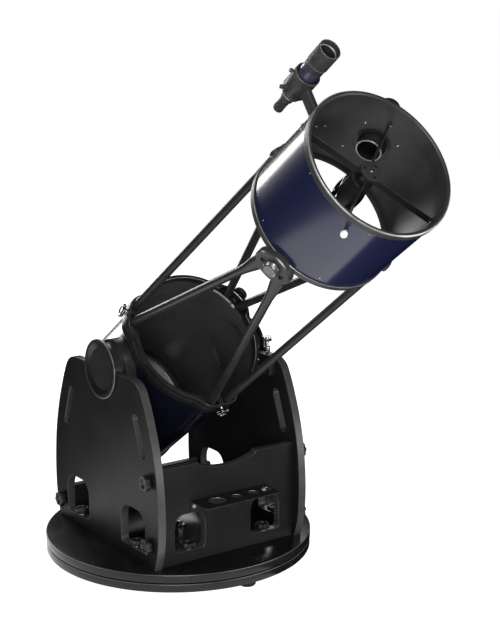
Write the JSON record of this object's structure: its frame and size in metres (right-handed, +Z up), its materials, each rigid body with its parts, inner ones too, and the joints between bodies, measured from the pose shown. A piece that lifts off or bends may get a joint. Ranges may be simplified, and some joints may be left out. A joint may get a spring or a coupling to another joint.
{
  "type": "dobsonian telescope",
  "caption": "Large truss-tube reflecting telescope on a turning rocker box, with a tipping tube, sliding focuser, finder and eyepiece rack.",
  "frame": {"origin": "on the azimuth axis, at the underside of the pivot bolt's head, flush with the underside of the ground board", "axes": "+Z up along the azimuth axis; the tube leans towards -Y; +X to the right seen from the front, along the altitude axis"},
  "size_m": [0.832, 1.5441, 1.5924],
  "materials": {
    "laminate": "matte black laminate over board",
    "rubber": "matte",
    "steel": "polished turned steel",
    "liner": "matte slippery plastic",
    "black_plastic": "satin moulded black",
    "black_paint": "satin black paint",
    "black_anodised": "satin black anodised",
    "grey_casting": "satin dark grey paint",
    "navy_paint": "gloss navy paint, black inside",
    "mirror_glass": "polished coated glass",
    "white_plastic": "gloss white"
  },
  "bodies": {
    "ground": {"ground_board": "laminate", "foot_front": "rubber", "foot_right": "rubber", "foot_left": "rubber", "azimuth_bearing": "steel", "pivot_bolt": "steel"},
    "rocker": {"turntable_board": "laminate", "left_side_panel": "laminate", "right_side_panel": "laminate", "front_panel": "laminate", "rear_panel": "laminate", "left_bearing_liner": "liner", "right_bearing_liner": "liner", "eyepiece_rack": "black_paint", "altitude_brake_block": "black_paint", "left_front_upper_knob": "black_plastic", "left_front_lower_knob": "black_plastic", "left_rear_knob": "black_plastic", "right_front_upper_knob": "black_plastic", "right_front_lower_knob": "black_plastic", "right_rear_knob": "black_plastic"},
    "tube_assembly": {"lower_tube": "navy_paint", "lower_tube_ring": "grey_casting", "left_altitude_bearing": "black_anodised", "right_altitude_bearing": "black_anodised", "mirror_cell": "black_paint", "primary_mirror": "mirror_glass", "truss_pole_1": "black_anodised", "truss_pole_2": "black_anodised", "truss_pole_3": "black_anodised", "truss_pole_4": "black_anodised", "truss_pole_5": "black_anodised", "truss_pole_6": "black_anodised", "truss_connector_1": "grey_casting", "truss_connector_2": "grey_casting", "truss_connector_3": "grey_casting", "upper_tube": "navy_paint", "upper_front_ring": "grey_casting", "upper_rear_ring": "grey_casting", "secondary_spider": "black_anodised", "secondary_holder": "black_anodised", "secondary_mirror": "mirror_glass", "focuser_body": "black_anodised", "guide_knob": "white_plastic", "finder_shoe": "steel", "finder_bracket": "black_anodised", "finder_tube": "black_anodised", "finder_eyepiece": "black_plastic"},
    "brake_screw": {"altitude_brake_knob": "steel"},
    "drawtube": {"focuser_drawtube": "black_anodised"},
    "focus_wheel": {"focuser_knobs": "black_plastic"},
    "truss_screw_1": {"truss_knob_1": "steel"},
    "truss_screw_2": {"truss_knob_2": "steel"},
    "truss_screw_3": {"truss_knob_3": "steel"},
    "clamp_screw_1": {"lower_clamp_knob_1": "steel"},
    "clamp_screw_2": {"lower_clamp_knob_2": "steel"},
    "clamp_screw_3": {"lower_clamp_knob_3": "steel"},
    "collimation_screw_1": {"collimation_knob_1": "black_plastic"},
    "collimation_screw_2": {"collimation_knob_2": "black_plastic"},
    "collimation_screw_3": {"collimation_knob_3": "black_plastic"}
  },
  "joints": [
    {"name": "azimuth_turn", "type": "hinge", "parent": "ground", "child": "rocker", "pos_m": [0, 0, 0.027], "axis": [0, 0, 1], "continuous": true},
    {"name": "altitude_tip", "type": "hinge", "parent": "rocker", "child": "tube_assembly", "pos_m": [0, 0, 0.601], "axis": [1, 0, 0], "range_deg": [-54.3, 35.7]},
    {"name": "brake_turn", "type": "hinge", "parent": "rocker", "child": "brake_screw", "pos_m": [0.225, -0.164, 0.61], "axis": [0, 0, 1], "range_deg": [-360, 360]},
    {"name": "drawtube_slide", "type": "slide", "parent": "tube_assembly", "child": "drawtube", "axis": [0.7242, 0.4024, 0.56], "range_m": [-0.03, 0.025]},
    {"name": "focus_turn", "type": "hinge", "parent": "tube_assembly", "child": "focus_wheel", "pos_m": [0.1738, -0.6909, 1.30127], "axis": [-0.6896, 0.4226, 0.5881], "range_deg": [-432, 361]},
    {"name": "truss_screw_1_turn", "type": "hinge", "parent": "tube_assembly", "child": "truss_screw_1", "pos_m": [0, -0.56466, 1.28381], "axis": [0, 0.5835, 0.8121], "continuous": true},
    {"name": "truss_screw_2_turn", "type": "hinge", "parent": "tube_assembly", "child": "truss_screw_2", "pos_m": [-0.19486, -0.7616, 1.00974], "axis": [-0.866, -0.2918, -0.406], "continuous": true},
    {"name": "truss_screw_3_turn", "type": "hinge", "parent": "tube_assembly", "child": "truss_screw_3", "pos_m": [0.19486, -0.7616, 1.00974], "axis": [0.866, -0.2918, -0.406], "continuous": true},
    {"name": "clamp_screw_1_turn", "type": "hinge", "parent": "tube_assembly", "child": "clamp_screw_1", "pos_m": [0.20785, -0.03961, 0.77723], "axis": [0.866, 0.2918, 0.406], "continuous": true},
    {"name": "clamp_screw_2_turn", "type": "hinge", "parent": "tube_assembly", "child": "clamp_screw_2", "pos_m": [-0.20785, -0.03961, 0.77723], "axis": [-0.866, 0.2918, 0.406], "continuous": true},
    {"name": "clamp_screw_3_turn", "type": "hinge", "parent": "tube_assembly", "child": "clamp_screw_3", "pos_m": [0, -0.24968, 0.48488], "axis": [0, -0.5835, -0.8121], "continuous": true},
    {"name": "collimation_screw_1_turn", "type": "hinge", "parent": "tube_assembly", "child": "collimation_screw_1", "pos_m": [0, 0.43724, 0.4469], "axis": [0, -0.8121, 0.5835], "continuous": true},
    {"name": "collimation_screw_2_turn", "type": "hinge", "parent": "tube_assembly", "child": "collimation_screw_2", "pos_m": [-0.11258, 0.32345, 0.28854], "axis": [0, -0.8121, 0.5835], "continuous": true},
    {"name": "collimation_screw_3_turn", "type": "hinge", "parent": "tube_assembly", "child": "collimation_screw_3", "pos_m": [0.11258, 0.32345, 0.28854], "axis": [0, -0.8121, 0.5835], "continuous": true}
  ],
  "couplings": [
    {"joint": "focus_turn", "follows": "drawtube_slide", "rad_per_m": 250}
  ]
}
